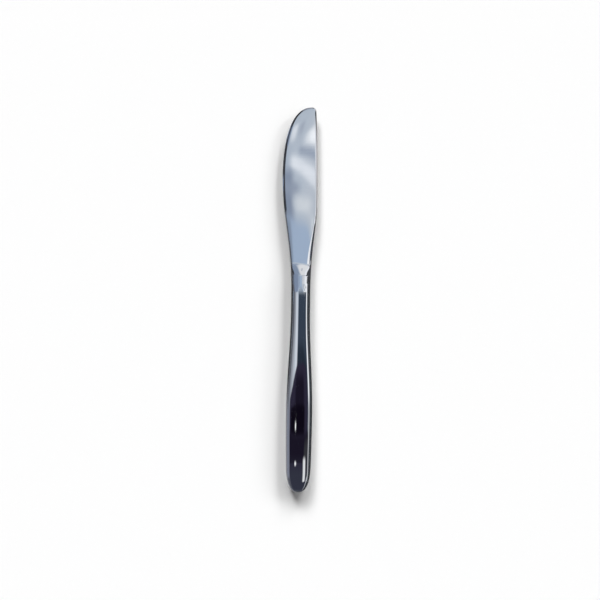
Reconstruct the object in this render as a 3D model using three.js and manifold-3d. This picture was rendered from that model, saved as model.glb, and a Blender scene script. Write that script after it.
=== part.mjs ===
// A polished stainless-steel table knife with a hollow handle, lying on its side.
//
// The blade, its neck and its tang are one forging. Two pressed half shells make the handle. They are
// brazed along a seam that runs round the butt, filled with cement around the tang, and closed at the
// mouth by a ring of solder under the neck.
//
// The pieces are modelled with Y from butt to tip and 0 at the handle's mouth, X from cutting edge to
// spine and 0 on the handle's axis, and Z upwards with 0 in the middle of the seam. The finished knife
// is then moved so that its origin is under the middle of its bounding box.

import * as THREE from "three";
import { mergeVertices } from "three/addons/utils/BufferGeometryUtils.js";
import Module from "manifold-3d";

const { clamp, lerp, smoothstep } = THREE.MathUtils;

// Lengths along the knife, in millimetres
const HANDLE_LENGTH = 109; // mouth to butt
const NECK_LENGTH = 16; // mouth to where the blade's flat faces begin
const BLADE_LENGTH = 85; // start of the flat faces to the tip

// Handle
const MOUTH_WIDTH = 10.3;
const SWELL_WIDTH = 14.3;
const BUTT_WIDTH = 13.5; // where the butt begins to round off
const HANDLE_THICKNESS = 7; // between the flat broad faces, which run up to the mouth
const WAIST_LENGTH = 10; // straight stretch behind the mouth
const SWELL_FROM_BUTT = 43; // where the full width is reached
const BUTT_ROUND_LENGTH = 14; // rounding of the butt, seen from above
const FACE_END_FROM_BUTT = 24; // butt to the end of the flat broad faces
const FACE_WIDTH = 2; // flat land down the middle of each broad face
const FACE_MOST = 0.4; // the most of the width that the land takes where the handle is narrow
const MOUTH_FULLNESS = 2.1; // of the section: 2 is an ellipse, more is squarer
const SWELL_FULLNESS = 2.5;
const BUTT_FULLNESS = 2.5; // seen from above
const BUTT_SIDE_FULLNESS = 2.2; // seen from the side

// Handle construction
const SHELL_WALL = 0.9;
const SEAM_HEIGHT = 0.3; // braze between the half shells
const MOUTH_JOINT = 0.3; // solder between the handle and the neck
const SPIGOT_DEPTH = 4; // plug of the neck inside the mouth
const SPIGOT_CLEARANCE = 0.3;
const CEMENT_CLEARANCE = 0.3;

// Tang
const TANG_LENGTH = 52;
const TANG_ROOT_WIDTH = 5;
const TANG_TIP_WIDTH = 3.4;
const TANG_ROOT_THICKNESS = 2.2;
const TANG_TIP_THICKNESS = 1.8;
const NOTCH_COUNT = 3; // pairs of notches that key the tang into the cement
const NOTCH_PITCH = 13;
const NOTCH_LENGTH = 3;
const NOTCH_DEPTH = 0.7;

// Neck
const NECK_FRONT_THICKNESS = 4.8; // where the neck begins to fall to the blade
const PLUNGE_LENGTH = 7; // fall from the neck to the blade's flat faces

// Blade outline: distances from the handle's axis, and back from the tip
const EDGE_REACH = 10.8; // axis to the cutting edge at its belly
const BELLY_FROM_TIP = 37;
const SPINE_REACH = 8.15; // axis to the spine at its shoulder
const SHOULDER_FROM_TIP = 54;
const SPINE_BULGE_REACH = 7.95; // pull of the gently bowed spine
const SPINE_BULGE_FROM_TIP = 21;
const TIP_REACH = 4.7; // axis to the foremost point, on the spine's side
const TIP_SPINE_REACH = 7.1; // axis to the spine where the tip's corner begins
const TIP_CORNER_LENGTH = 2.7;

// Fullness of the outline's curves, as shares of the stretch that each one spans
const EDGE_NECK_PULL = 0.44;
const EDGE_BELLY_PULL = 0.375;
const SPINE_NECK_PULL = 0.55;
const SPINE_SHOULDER_PULL = 0.26;
const TIP_PULL_ALONG = 0.54;
const TIP_PULL_ACROSS = 0.71;

// Blade section
const SPINE_HEEL_THICKNESS = 2.3;
const SPINE_TIP_THICKNESS = 1.3;
const FLAT_HEEL_THICKNESS = 2; // flat faces on the cutting side, at the heel
const FLAT_TIP_THICKNESS = 1.1;
const EDGE_THICKNESS = 0.2;
const BEVEL_WIDTH = 1.1;
const BEVEL_LENGTH = 60; // back from the tip
const BEVEL_RUN_IN = 5; // stretch over which the bevel reaches its width
const BEVEL_FADE = 22; // stretch over which it narrows towards the tip
const BEVEL_TIP_WIDTH = 0.4;
const HEEL_ROUND_WIDTH = 0.5; // rounded edge where there is no bevel
const SPINE_ROUND_WIDTH = 1;
const BACK_SHARE = 0.45; // part of the thickness left flat on rounded edges
const BAND_MOST = 0.5; // the most of the blade's width that a bevel or rounding takes at the tip

// Fineness of the surfaces
const SHOULDER_POINTS = 6; // from the flat land to a flank
const SPINE_ROUND_STEPS = [1, 0.6, 0.3, 0.1, 0];
const BUTT_RINGS = 10;
const FACE_RINGS = 15;
const NECK_RINGS = 16;
const BLADE_RINGS = 18;
const TIP_RINGS = 12;
const TIP_SHARE = 0.15; // part of the outline that counts as the tip
const BITE = 1; // how far joined solids reach into each other, and cutters past a face
const WELD = 1e-5; // points closer than this are one point

const tipY = NECK_LENGTH + BLADE_LENGTH;
const swellAt = HANDLE_LENGTH - SWELL_FROM_BUTT;
const buttRoundAt = HANDLE_LENGTH - BUTT_ROUND_LENGTH;
const faceEndAt = HANDLE_LENGTH - FACE_END_FROM_BUTT;

const wasm = await Module();
wasm.setup();

// Closed geometry to a solid that can be joined and cut, and back
function solid(geometry) {
  const bare = geometry.clone();
  bare.deleteAttribute("normal");
  bare.deleteAttribute("uv");
  const merged = mergeVertices(bare, WELD);
  const vertProperties = new Float32Array(merged.attributes.position.array);
  const triVerts = new Uint32Array(merged.index.array);
  return new wasm.Manifold(new wasm.Mesh({ numProp: 3, vertProperties, triVerts }));
}

function geometryOf(body) {
  const { vertProperties, triVerts } = body.getMesh();
  const geometry = new THREE.BufferGeometry();
  geometry.setAttribute("position", new THREE.BufferAttribute(new Float32Array(vertProperties), 3));
  geometry.setIndex(new THREE.BufferAttribute(new Uint32Array(triVerts), 1));
  geometry.computeVertexNormals();
  return geometry;
}

// Even steps from one value to another, both included
function steps(from, to, count) {
  return Array.from({ length: count + 1 }, (_, i) => lerp(from, to, i / count));
}

// Height of a rounded profile, 1 at its middle and 0 at its end
function dome(share, fullness) {
  return (1 - clamp(share, 0, 1) ** fullness) ** (1 / fullness);
}

// Closed surface through rings of points, from low y to high y, with each end drawn to one point
function loft(rings, firstPoint, lastPoint) {
  const count = rings[0].length;
  const points = [...rings.flat(), firstPoint, lastPoint];
  const first = points.length - 2;
  const last = points.length - 1;
  const lastRing = (rings.length - 1) * count;
  const faces = [];
  for (let i = 0; i < count; i += 1) {
    const next = (i + 1) % count;
    faces.push(first, next, i, last, lastRing + i, lastRing + next);
    for (let ring = 0; ring + 1 < rings.length; ring += 1) {
      const low = ring * count;
      const high = low + count;
      faces.push(low + i, low + next, high + next, low + i, high + next, high + i);
    }
  }
  const geometry = new THREE.BufferGeometry().setFromPoints(points);
  geometry.setIndex(faces);
  return geometry;
}

// Part of a section's half width that its flat land takes
function landShare(halfWidth) {
  return Math.min(FACE_WIDTH / 2 / halfWidth, FACE_MOST);
}

// Places across a broad side, from -1 at the edge's flank to 1 at the spine's, with the land's borders
function placesAcross(halfWidth) {
  const land = landShare(halfWidth);
  const shoulder = Array.from({ length: SHOULDER_POINTS }, (_, i) => {
    const angle = (((i + 0.5) / SHOULDER_POINTS) * Math.PI) / 2;
    return lerp(land, 1, Math.sin(angle));
  });
  const spineSide = [land, ...shoulder];
  return [...spineSide.map((place) => -place).reverse(), ...spineSide];
}

// Height of a broad side at one of those places, as a share of its height on the land
function crown(place, halfWidth, fullness) {
  const land = landShare(halfWidth);
  return dome((Math.abs(place) - land) / (1 - land), fullness);
}

// Ring from the points along its top: they run from the edge's side to the spine's, and back below
function mirroredRing(top) {
  const bottom = top.map((point) => new THREE.Vector3(point.x, point.y, -point.z)).reverse();
  return [...top, ...bottom];
}

// Handle: half its width and half its thickness at y, drawn in all round by inset
function handleHalfWidth(y, inset) {
  const rise = smoothstep(-y, WAIST_LENGTH, swellAt);
  const fall = Math.max(0, (-y - swellAt) / (buttRoundAt - swellAt)) ** 2;
  const width = lerp(MOUTH_WIDTH, SWELL_WIDTH, rise) - (SWELL_WIDTH - BUTT_WIDTH) * fall;
  const share = (-y - buttRoundAt) / (BUTT_ROUND_LENGTH - inset);
  return (width / 2 - inset) * dome(share, BUTT_FULLNESS);
}

function handleHalfThickness(y, inset) {
  const share = (-y - faceEndAt) / (FACE_END_FROM_BUTT - inset);
  return (HANDLE_THICKNESS / 2 - inset) * dome(share, BUTT_SIDE_FULLNESS);
}

function handleRing(y, inset) {
  const fullness = lerp(MOUTH_FULLNESS, SWELL_FULLNESS, smoothstep(-y, 0, swellAt));
  const halfWidth = handleHalfWidth(y, inset);
  const halfThickness = handleHalfThickness(y, inset);
  const top = placesAcross(halfWidth).map((place) => {
    const height = halfThickness * crown(place, halfWidth, fullness);
    return new THREE.Vector3(place * halfWidth, y, height);
  });
  return mirroredRing(top);
}

// Closed form of the handle, drawn in by inset, from its butt up to the given y
function handleForm(inset, topY) {
  const endY = inset - HANDLE_LENGTH;
  const round = steps(0, Math.PI / 2, BUTT_RINGS).slice(1);
  const butt = round.map((angle) => lerp(endY, -faceEndAt, 1 - Math.cos(angle)));
  const face = steps(-faceEndAt, topY, FACE_RINGS).slice(1);
  const rings = [...butt, ...face].map((y) => handleRing(y, inset));
  return loft(rings, new THREE.Vector3(0, endY, 0), new THREE.Vector3(0, topY, 0));
}

// Straight plug with the handle's section at the mouth, drawn in by inset
function mouthPlug(inset, lowY, highY) {
  const rings = [lowY, highY].map((y) =>
    handleRing(0, inset).map((point) => new THREE.Vector3(point.x, y, point.z)),
  );
  return loft(rings, new THREE.Vector3(0, lowY, 0), new THREE.Vector3(0, highY, 0));
}

// Outline of the neck and blade: one path up each side, meeting on the tip's corner
function outlinePaths() {
  const bellyY = tipY - BELLY_FROM_TIP;
  const bellyRun = bellyY - MOUTH_JOINT;
  const edge = new THREE.Path().moveTo(-MOUTH_WIDTH / 2, MOUTH_JOINT);
  edge.bezierCurveTo(
    -MOUTH_WIDTH / 2, MOUTH_JOINT + EDGE_NECK_PULL * bellyRun,
    -EDGE_REACH, bellyY - EDGE_BELLY_PULL * bellyRun,
    -EDGE_REACH, bellyY,
  );
  edge.bezierCurveTo(
    -EDGE_REACH, bellyY + TIP_PULL_ALONG * BELLY_FROM_TIP,
    TIP_REACH - TIP_PULL_ACROSS * (TIP_REACH + EDGE_REACH), tipY,
    TIP_REACH, tipY,
  );

  const shoulderY = tipY - SHOULDER_FROM_TIP;
  const shoulderRun = shoulderY - MOUTH_JOINT;
  const cornerY = tipY - TIP_CORNER_LENGTH;
  const spine = new THREE.Path().moveTo(MOUTH_WIDTH / 2, MOUTH_JOINT);
  spine.bezierCurveTo(
    MOUTH_WIDTH / 2, MOUTH_JOINT + SPINE_NECK_PULL * shoulderRun,
    SPINE_REACH, shoulderY - SPINE_SHOULDER_PULL * shoulderRun,
    SPINE_REACH, shoulderY,
  );
  spine.quadraticCurveTo(SPINE_BULGE_REACH, tipY - SPINE_BULGE_FROM_TIP, TIP_SPINE_REACH, cornerY);

  const cornerWidth = TIP_SPINE_REACH - TIP_REACH;
  edge.absellipse(TIP_REACH, cornerY, cornerWidth, TIP_CORNER_LENGTH, Math.PI / 2, Math.PI / 4, true);
  spine.absellipse(TIP_REACH, cornerY, cornerWidth, TIP_CORNER_LENGTH, 0, Math.PI / 4, false);
  return { edge, spine };
}

// Ring of the neck and blade on the straight rule between a point of the edge and one of the spine
function forgingRing(edgePoint, spinePoint) {
  const y = (edgePoint.y + spinePoint.y) / 2;
  const ruleLength = edgePoint.distanceTo(spinePoint);
  const plungeY = NECK_LENGTH - PLUNGE_LENGTH;
  const neck = 1 - smoothstep(y, plungeY, NECK_LENGTH);
  const neckHalf = lerp(HANDLE_THICKNESS, NECK_FRONT_THICKNESS, Math.min(1, y / plungeY)) / 2;

  const alongBlade = clamp((y - NECK_LENGTH) / BLADE_LENGTH, 0, 1);
  const spineHalf = lerp(SPINE_HEEL_THICKNESS, SPINE_TIP_THICKNESS, alongBlade) / 2;
  const flatHalf = lerp(FLAT_HEEL_THICKNESS, FLAT_TIP_THICKNESS, alongBlade) / 2;
  const bevel = smoothstep(edgePoint.y, tipY - BEVEL_LENGTH, tipY - BEVEL_LENGTH + BEVEL_RUN_IN);
  const widening = smoothstep(tipY - edgePoint.y, 0, BEVEL_FADE);
  const bevelWidth = lerp(BEVEL_TIP_WIDTH, BEVEL_WIDTH, widening);
  const edgeBand = Math.min(lerp(HEEL_ROUND_WIDTH, bevelWidth, bevel) / ruleLength, BAND_MOST);
  const spineBand = Math.min(SPINE_ROUND_WIDTH / ruleLength, BAND_MOST);
  const edgeHalf = lerp(BACK_SHARE * flatHalf, EDGE_THICKNESS / 2, bevel);

  const neckPlaces = placesAcross(ruleLength / 2);
  const faceSteps = neckPlaces.length - 1 - SPINE_ROUND_STEPS.length;
  const bladeShares = [
    0,
    ...steps(edgeBand, 1 - spineBand, faceSteps).slice(0, -1),
    ...SPINE_ROUND_STEPS.map((step) => 1 - step * spineBand),
  ];
  const top = bladeShares.map((bladeShare, i) => {
    const share = lerp(bladeShare, (1 + neckPlaces[i]) / 2, neck);
    const faceHalf = lerp(flatHalf, spineHalf, share);
    const towardsSpine = 1 - clamp((1 - share) / spineBand, 0, 1);
    const rounding = lerp(BACK_SHARE, 1, dome(towardsSpine, 2));
    const bladeHalf = lerp(edgeHalf, faceHalf, Math.min(1, share / edgeBand)) * rounding;
    const neckCrown = crown(2 * share - 1, ruleLength / 2, MOUTH_FULLNESS);
    const point = edgePoint.clone().lerp(spinePoint, share);
    return new THREE.Vector3(point.x, point.y, lerp(bladeHalf, neckHalf * neckCrown, neck));
  });
  return mirroredRing(top);
}

function forging() {
  const { edge, spine } = outlinePaths();
  const neckShare = (NECK_LENGTH + PLUNGE_LENGTH) / edge.getLength();
  const shares = [
    ...steps(0, neckShare, NECK_RINGS),
    ...steps(neckShare, 1 - TIP_SHARE, BLADE_RINGS).slice(1),
    ...steps(1 - TIP_SHARE, 1, TIP_RINGS).slice(1, -1),
  ];
  const rings = shares.map((share) => forgingRing(edge.getPointAt(share), spine.getPointAt(share)));
  const tip = edge.getPointAt(1);
  return loft(rings, new THREE.Vector3(0, MOUTH_JOINT, 0), new THREE.Vector3(tip.x, tip.y, 0));
}

// Tang with its notches, grown all round by growth
function tang(growth) {
  const rootY = -SPIGOT_DEPTH;
  const endY = rootY - TANG_LENGTH;
  const ring = (y, width, thickness) => {
    const x = width / 2 + growth;
    const z = thickness / 2 + growth;
    return mirroredRing([new THREE.Vector3(-x, y, z), new THREE.Vector3(x, y, z)]);
  };
  const rings = [
    ring(endY - growth, TANG_TIP_WIDTH, TANG_TIP_THICKNESS),
    ring(rootY + BITE, TANG_ROOT_WIDTH, TANG_ROOT_THICKNESS),
  ];
  let bar = solid(loft(rings, new THREE.Vector3(0, endY - growth, 0), new THREE.Vector3(0, rootY + BITE, 0)));
  for (let i = 1; i <= NOTCH_COUNT; i += 1) {
    const y = rootY - i * NOTCH_PITCH;
    const halfWidth = lerp(TANG_ROOT_WIDTH, TANG_TIP_WIDTH, (i * NOTCH_PITCH) / TANG_LENGTH) / 2;
    for (const side of [-1, 1]) {
      const floorX = halfWidth + growth - NOTCH_DEPTH;
      const notch = new THREE.BoxGeometry(TANG_ROOT_WIDTH, NOTCH_LENGTH - 2 * growth, HANDLE_THICKNESS);
      notch.translate(side * (floorX + TANG_ROOT_WIDTH / 2), y, 0);
      bar = bar.subtract(solid(notch));
    }
  }
  return bar;
}

function blade() {
  const spigot = mouthPlug(SHELL_WALL + SPIGOT_CLEARANCE, -SPIGOT_DEPTH, MOUTH_JOINT + BITE);
  return geometryOf(solid(forging()).add(solid(spigot)).add(tang(0)));
}

// Slab across the whole handle between two heights, for splitting it at the seam
function slab(lowZ, highZ) {
  const reach = 2 * (HANDLE_LENGTH + SWELL_WIDTH);
  const box = new THREE.BoxGeometry(reach, reach, highZ - lowZ);
  return solid(box.translate(0, 0, (lowZ + highZ) / 2));
}

function hollowHandle() {
  return solid(handleForm(0, 0)).subtract(solid(handleForm(SHELL_WALL, BITE)));
}

function handleFrontShell() {
  return geometryOf(hollowHandle().intersect(slab(SEAM_HEIGHT / 2, HANDLE_THICKNESS)));
}

function handleBackShell() {
  return geometryOf(hollowHandle().intersect(slab(-HANDLE_THICKNESS, -SEAM_HEIGHT / 2)));
}

function handleSeamBraze() {
  return geometryOf(hollowHandle().intersect(slab(-SEAM_HEIGHT / 2, SEAM_HEIGHT / 2)));
}

function mouthSolder() {
  const disc = solid(mouthPlug(0, 0, MOUTH_JOINT));
  return geometryOf(disc.subtract(solid(mouthPlug(SHELL_WALL, -BITE, MOUTH_JOINT + BITE))));
}

function handleCement() {
  const topY = -SPIGOT_DEPTH - CEMENT_CLEARANCE;
  return geometryOf(solid(handleForm(SHELL_WALL + CEMENT_CLEARANCE, topY)).subtract(tang(CEMENT_CLEARANCE)));
}

function piece(name, geometry, look) {
  const mesh = new THREE.Mesh(geometry, new THREE.MeshStandardMaterial(look));
  mesh.name = name;
  return mesh;
}

const knife = new THREE.Group();
knife.add(
  piece("blade", blade(), { color: 0xb4bfcc, roughness: 0.18, metalness: 1 }),
  piece("handle_front_shell", handleFrontShell(), { color: 0xc6c9ce, roughness: 0.08, metalness: 1 }),
  piece("handle_back_shell", handleBackShell(), { color: 0xc6c9ce, roughness: 0.08, metalness: 1 }),
  piece("handle_seam_braze", handleSeamBraze(), { color: 0xcdc9bd, roughness: 0.2, metalness: 1 }),
  piece("mouth_solder", mouthSolder(), { color: 0xc2c4c6, roughness: 0.22, metalness: 1 }),
  piece("handle_cement", handleCement(), { color: 0x8f877b, roughness: 0.9, metalness: 0 }),
);

const box = new THREE.Box3().setFromObject(knife);
const middle = box.getCenter(new THREE.Vector3());
knife.position.set(-middle.x, -middle.y, -box.min.z);

export default knife;
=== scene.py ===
"""Polished table knife with a hollow handle, dressed for a studio picture.

Laid out as a Blender add-on and run as a script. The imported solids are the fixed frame. Each operator makes
one piece of the knife, or a group of like pieces, as a smooth fine mesh that stands for its solid. The
cement keeps its solid and only gets its finish.

The pieces are worked out in the knife's own axes: y runs from the butt to the tip and is 0 at the handle's
mouth, x runs from the cutting edge to the spine and is 0 on the handle's axis, and z is 0 in the seam.
"""

import math
from bisect import bisect_right
from functools import partial
from typing import NamedTuple

import bmesh
import bpy
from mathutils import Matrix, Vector
from mathutils.geometry import interpolate_bezier


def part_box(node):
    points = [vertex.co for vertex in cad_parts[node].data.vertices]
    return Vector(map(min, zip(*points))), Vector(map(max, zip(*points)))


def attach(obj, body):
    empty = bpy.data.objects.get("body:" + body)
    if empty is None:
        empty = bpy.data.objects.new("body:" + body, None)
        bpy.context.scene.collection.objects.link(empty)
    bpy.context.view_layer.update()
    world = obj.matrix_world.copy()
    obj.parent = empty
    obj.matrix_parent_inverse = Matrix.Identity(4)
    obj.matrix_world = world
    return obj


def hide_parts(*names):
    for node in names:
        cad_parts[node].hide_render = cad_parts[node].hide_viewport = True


bl_info = {
    "name": "Butter Knife",
    "version": (1, 0, 0),
    "blender": (4, 5, 0),
    "location": "3D View > Sidebar > Knife",
    "description": "Makes the pieces of a polished table knife and the studio that it lies in",
    "category": "Object",
}

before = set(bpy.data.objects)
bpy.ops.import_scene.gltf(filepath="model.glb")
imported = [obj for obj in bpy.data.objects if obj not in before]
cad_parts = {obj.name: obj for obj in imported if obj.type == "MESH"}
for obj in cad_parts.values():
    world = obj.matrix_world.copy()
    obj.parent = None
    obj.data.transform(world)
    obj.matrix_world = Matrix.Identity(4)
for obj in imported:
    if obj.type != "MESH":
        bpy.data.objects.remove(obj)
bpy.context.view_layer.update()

MM = 0.001
BODY = "root"
PANEL_TAB = "Knife"

# Kinds of node that come up often
MATH = "ShaderNodeMath"
VECTOR_MATH = "ShaderNodeVectorMath"
MAP_RANGE = "ShaderNodeMapRange"
NOISE = "ShaderNodeTexNoise"
VORONOI = "ShaderNodeTexVoronoi"
BUMP = "ShaderNodeBump"
MIX = "ShaderNodeMix"
PRINCIPLED = "ShaderNodeBsdfPrincipled"
EMISSION = "ShaderNodeEmission"

# Sockets of a Mix node that blends two colours
COLOUR_A = 6
COLOUR_B = 7
COLOUR_RESULT = 2


def linear(hex_colour):
    """Turns an sRGB colour such as #c0c4c8 into linear red, green and blue."""
    channels = [int(hex_colour[i:i + 2], 16) / 255 for i in (1, 3, 5)]
    return [c / 12.92 if c <= 0.04045 else ((c + 0.055) / 1.055) ** 2.4 for c in channels]


def rgba(colour, brightness=1.0):
    """Linear colour at a brightness, as a colour socket takes it."""
    return (*[channel * brightness for channel in colour], 1)


def per_metre(size_mm):
    """Scale of a pattern on Object coordinates whose features are this many millimetres across."""
    return 1000 / size_mm


def clamp01(value):
    """Holds a value between 0 and 1."""
    return min(1.0, max(0.0, value))


def between(start, end, share):
    """Value on the way from start to end."""
    return start + (end - start) * share


def smooth_rise(value, start, end):
    """Rises from 0 at start to 1 at end with a level beginning and end."""
    share = clamp01((value - start) / (end - start))
    return share * share * (3 - 2 * share)


def dome(share, fullness):
    """Height of a rounded profile, 1 at its middle and 0 at its end."""
    return (1 - clamp01(share) ** fullness) ** (1 / fullness)


def add_node(tree, kind, inputs=None, **settings):
    """Adds a node with its settings and inputs: plain values, sockets, or nodes by their first output."""
    node = tree.nodes.new(kind)
    for name, value in settings.items():
        setattr(node, name, value)
    for key, value in (inputs or {}).items():
        if isinstance(value, bpy.types.Node):
            value = value.outputs[0]
        if isinstance(value, bpy.types.NodeSocket):
            tree.links.new(value, node.inputs[key])
        else:
            node.inputs[key].default_value = value
    return node


# Sizes and colours that a user would change


def length_setting(name, description, millimetres):
    """Setting for a length."""
    return bpy.props.FloatProperty(
        name=name, description=description, default=millimetres * MM, unit="LENGTH")


def number_setting(name, description, default, subtype="NONE"):
    """Setting for a number without a unit."""
    return bpy.props.FloatProperty(name=name, description=description, default=default, subtype=subtype)


def colour_setting(name, description, hex_colour):
    """Setting for a colour."""
    return bpy.props.FloatVectorProperty(
        name=name, description=description, default=linear(hex_colour), subtype="COLOR",
        size=3, min=0, max=1)


class HandleSizes(bpy.types.PropertyGroup):
    """Sizes of the hollow handle. A fullness of 2 makes an ellipse, and more makes a squarer form."""

    length: length_setting("Length", "Mouth to butt", 109)
    mouth_width: length_setting("Mouth width", "Width where the neck begins", 10.3)
    swell_width: length_setting("Swell width", "Greatest width", 14.3)
    butt_width: length_setting("Butt width", "Width where the butt begins to round off", 13.5)
    thickness: length_setting("Thickness", "Between the two broad faces", 7)
    waist_length: length_setting("Waist length", "Straight stretch behind the mouth", 10)
    swell_from_butt: length_setting("Swell from butt", "Butt to where the full width is reached", 43)
    butt_rounding: length_setting("Butt rounding", "Length of the butt's rounding seen from above", 14)
    face_end_from_butt: length_setting("Face end from butt", "Butt to the end of the flat broad face", 24)
    face_width: length_setting("Face width", "Flat land down the middle of a broad face", 2)
    face_share: number_setting("Face share", "The most of the width that the flat land takes", 0.4, "FACTOR")
    mouth_fullness: number_setting("Mouth fullness", "Roundness of the section at the mouth", 2.1)
    swell_fullness: number_setting("Swell fullness", "Roundness of the section at the swell", 2.5)
    butt_fullness: number_setting("Butt fullness", "Roundness of the butt seen from above", 2.5)
    butt_side_fullness: number_setting("Butt side fullness", "Roundness of the butt seen from the side", 2.2)
    wall: length_setting("Wall", "Thickness of the pressed steel", 0.9)
    seam_height: length_setting("Seam height", "Braze between the half shells", 0.3)
    mouth_joint: length_setting("Mouth joint", "Solder between the handle and the neck", 0.3)


class BladeSizes(bpy.types.PropertyGroup):
    """Sizes of the blade, its neck and its hidden tang."""

    neck_length: length_setting("Neck length", "Mouth to where the ground faces begin", 16)
    length: length_setting("Blade length", "Start of the ground faces to the tip", 85)
    neck_front_thickness: length_setting("Neck front thickness", "Neck where its plunge begins", 6.7)
    plunge_length: length_setting("Plunge length", "Fall from the neck to the ground faces", 7)
    edge_reach: length_setting("Edge reach", "Handle's axis to the cutting edge at its belly", 10.8)
    spine_reach: length_setting("Spine reach", "Handle's axis to the spine at its shoulder", 8.15)
    spine_heel_thickness: length_setting("Spine at heel", "Thickness of the spine at the heel", 3.0)
    spine_shoulder_thickness: length_setting("Spine at shoulder", "Spine past its heavy heel", 2)
    spine_tip_thickness: length_setting("Spine at tip", "Thickness of the spine at the tip", 1.3)
    flat_heel_thickness: length_setting("Flat at heel", "Thickness on the cutting side at the heel", 2)
    flat_tip_thickness: length_setting("Flat at tip", "Thickness on the cutting side at the tip", 1.1)
    camber: number_setting("Camber", "Rise of a ground face as a share of its width", 0.013, "FACTOR")
    edge_thickness: length_setting("Edge thickness", "Blunt flat of the cutting edge", 0.2)
    bevel_width: length_setting("Bevel width", "Width of the ground cutting bevel", 1.35)
    bevel_length: length_setting("Bevel length", "Length of the cutting bevel, back from the tip", 60)
    spigot_depth: length_setting("Spigot depth", "Plug of the neck inside the handle's mouth", 4)
    tang_length: length_setting("Tang length", "Hidden bar that the cement holds", 52)
    tang_root_width: length_setting("Tang root width", "Width of the tang at the spigot", 5)
    tang_tip_width: length_setting("Tang tip width", "Width of the tang at its end", 3.4)
    tang_root_thickness: length_setting("Tang root thickness", "Thickness of the tang at the spigot", 2.2)
    tang_tip_thickness: length_setting("Tang tip thickness", "Thickness of the tang at its end", 1.8)


class KnifeColours(bpy.types.PropertyGroup):
    """Colours of the metals, the filler and the floor."""

    handle_steel: colour_setting("Handle steel", "Mirror-buffed stainless steel", "#c6c8cb")
    blade_steel: colour_setting("Blade steel", "Polished hardened stainless steel", "#c9cacd")
    braze: colour_setting("Braze", "Silver braze in the seam", "#cdc9bd")
    solder: colour_setting("Solder", "Solder round the mouth", "#c2c4c6")
    cement: colour_setting("Cement", "Filler inside the handle", "#8f877b")
    floor: colour_setting("Floor", "Matt white paper under the knife", "#fbfbfb")


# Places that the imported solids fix

FRONT_LOW, FRONT_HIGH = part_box("handle_front_shell")
BACK_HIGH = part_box("handle_back_shell")[1]
MOUTH_CENTRE = Vector((
    (FRONT_LOW.x + FRONT_HIGH.x) / 2,
    FRONT_HIGH.y,
    (FRONT_LOW.z + BACK_HIGH.z) / 2,
))

# Points of a mesh that lie closer than this, in metres, are one point
LOFT_WELD = 1e-7
TREE_WELD = 1e-6
# Edges that turn by more than this stay sharp
SHARP_DEGREES = 30
BLADE_SHARP_DEGREES = 25


def placed_rings(rings, node):
    """Moves rings from the knife's axes into the frame, held inside the box of the solid they stand for."""
    low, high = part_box(node)

    def held(point):
        placed = point + MOUTH_CENTRE
        return Vector([min(max(value, least), most) for value, least, most in zip(placed, low, high)])

    return [[held(point) for point in ring] for ring in rings]


def lofted_mesh(name, rings, closed=False):
    """Closed mesh through rings of points. Its ends get a flat fan each, or meet if it runs in a circle."""
    shape = bmesh.new()
    rows = [[shape.verts.new(point) for point in ring] for ring in rings]
    count = len(rows[0])
    following = rows[1:] + rows[:1] if closed else rows[1:]
    for low, high in zip(rows, following):
        for i in range(count):
            shape.faces.new((low[i], low[(i + 1) % count], high[(i + 1) % count], high[i]))
    for row in () if closed else (rows[0], rows[-1]):
        middle = shape.verts.new(sum((vert.co for vert in row), Vector()) / count)
        for i in range(count):
            shape.faces.new((row[i], row[(i + 1) % count], middle))
    bmesh.ops.remove_doubles(shape, verts=shape.verts, dist=LOFT_WELD)
    bmesh.ops.dissolve_degenerate(shape, edges=shape.edges, dist=LOFT_WELD)
    bmesh.ops.recalc_face_normals(shape, faces=shape.faces)
    mesh = bpy.data.meshes.new(name)
    shape.to_mesh(mesh)
    shape.free()
    return mesh


def finish_mesh(mesh, material, sharp_degrees):
    """Gives a mesh its material and smooth faces that break only at edges sharper than an angle."""
    mesh.materials.clear()
    mesh.materials.append(material)
    mesh.shade_smooth()
    mesh.set_sharp_from_angle(angle=math.radians(sharp_degrees))


def seat_piece(name, mesh, slot, *nodes):
    """Puts a finished mesh into the scene as a piece that rides on the knife and stands for its solids."""
    piece = bpy.data.objects.new(name, mesh)
    bpy.context.scene.collection.objects.link(piece)
    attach(piece, BODY)
    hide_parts(*nodes)


# Materials


def node_material(name):
    """Empty node material, its tree and the Object coordinates that its patterns lie on."""
    material = bpy.data.materials.new(name)
    material.use_nodes = True
    tree = material.node_tree
    tree.nodes.clear()
    place = add_node(tree, "ShaderNodeTexCoord").outputs["Object"]
    return material, tree, place


def join_shader(tree, kind, inputs):
    """Adds a material's shader and joins it to the output."""
    shader = add_node(tree, kind, inputs)
    add_node(tree, "ShaderNodeOutputMaterial", {"Surface": shader})


class SteelFinish(NamedTuple):
    """What the polish left on a steel: sizes in millimetres of its lines along x, y and z, of its haze and
    of its waves, where haze and lines begin to count, the haze's roughness, and depths in millimetres."""

    name: str
    line_sizes: tuple
    haze_size: float
    wave_size: float
    wave_detail: float
    haze_start: float
    haze_roughness: tuple
    line_start: float
    wave_depth: float
    line_depth: float


# 18/10 stainless steel, pressed and then buffed to a mirror on a cloth wheel. The eye gets a clear mirror
# picture, dark and bright, that bends a little over the pressed sheet, with a faint haze where it has been
# held and hairlines that run along the handle. Buffing lines are some hundredths of a millimetre wide, and
# are drawn at 0.3 mm so that they show.
HANDLE_STEEL = SteelFinish(
    "stainless_18_10_mirror_buffed", line_sizes=(0.3, 14, 0.3), haze_size=18, wave_size=26, wave_detail=0.0,
    haze_start=0.45, haze_roughness=(0.018, 0.03), line_start=0.55, wave_depth=0.006, line_depth=0.0006)

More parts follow.
